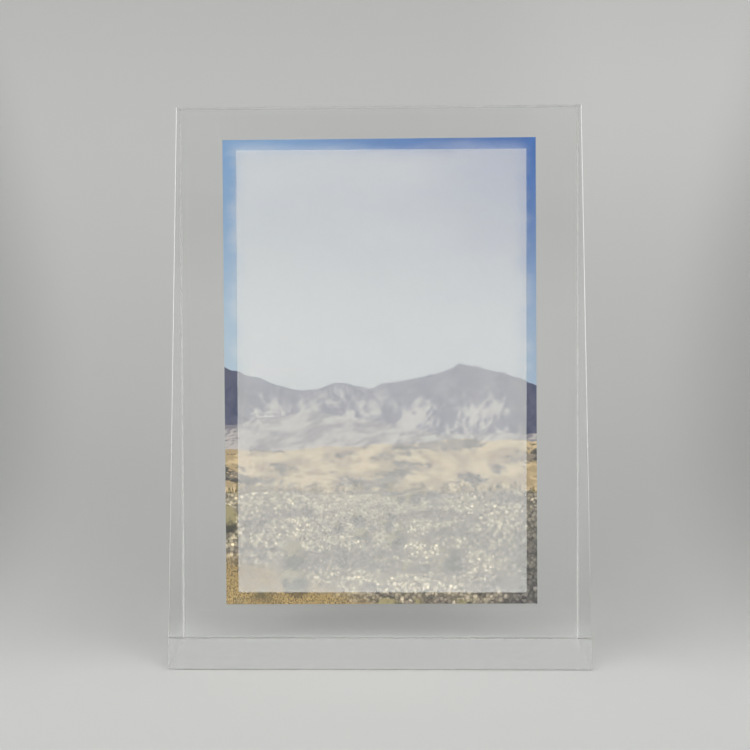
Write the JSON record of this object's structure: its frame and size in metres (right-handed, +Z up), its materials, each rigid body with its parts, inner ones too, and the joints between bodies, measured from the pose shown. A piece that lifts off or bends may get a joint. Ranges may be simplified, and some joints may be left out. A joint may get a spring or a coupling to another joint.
{
  "type": "photo block",
  "caption": "Clear wedge-shaped photo block with a leaning front, an upright back and a thin open-topped pocket that a loose print slides into.",
  "frame": {"origin": "middle of the base, on the surface that the block stands on", "axes": "+Z up the block; -Y towards the viewer, where the face leans back; +Y towards the upright back; +X to the viewer's right"},
  "size_m": [0.13, 0.0359, 0.175],
  "materials": {
    "clear_acrylic": "polished",
    "white_film": "satin",
    "photo_paper": "satin"
  },
  "bodies": {
    "block": {"front_block": "clear_acrylic", "bottom_strip": "clear_acrylic", "left_strip": "clear_acrylic", "right_strip": "clear_acrylic", "back_plate": "clear_acrylic", "translucent_panel": "white_film"},
    "print": {"photo_print": "photo_paper"}
  },
  "joints": [
    {"name": "print_slide", "type": "slide", "parent": "block", "child": "print", "axis": [0, 0, 1], "range_m": [0, 0.163]}
  ]
}
